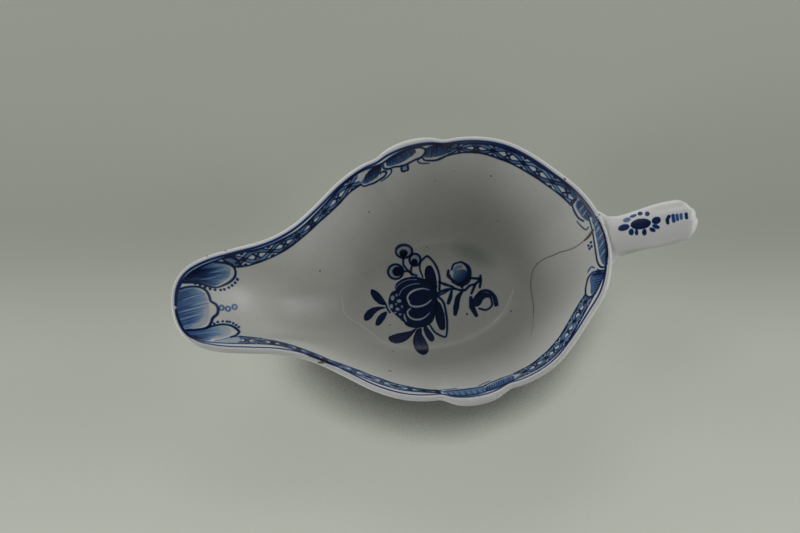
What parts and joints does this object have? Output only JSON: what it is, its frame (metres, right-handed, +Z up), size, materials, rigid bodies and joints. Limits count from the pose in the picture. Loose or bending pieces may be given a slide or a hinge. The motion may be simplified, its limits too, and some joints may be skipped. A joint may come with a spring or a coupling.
{
  "type": "sauceboat",
  "caption": "Low porcelain sauceboat with a long rising spout, lobed rim, oval foot ring and a flat strap handle; holds and pours sauce.",
  "frame": {"origin": "centre of the bounding box, on the plane that the foot stands on", "axes": "+X from the spout to the handle, +Y to the left of someone who looks from spout to handle, +Z up"},
  "size_m": [0.2036, 0.1111, 0.0605],
  "materials": {
    "body_porcelain": "bluish white glaze with painted blue decoration, glossy",
    "foot_porcelain": "bluish white glaze, wiped bare where it stands",
    "handle_porcelain": "bluish white glaze with painted blue dabs, glossy",
    "slip_porcelain": "bluish white glaze pooled in the corners"
  },
  "bodies": {
    "root": {"body": "body_porcelain", "foot_ring": "foot_porcelain", "foot_luting": "slip_porcelain", "handle": "handle_porcelain", "handle_upper_luting": "slip_porcelain", "handle_lower_luting": "slip_porcelain"}
  },
  "joints": []
}
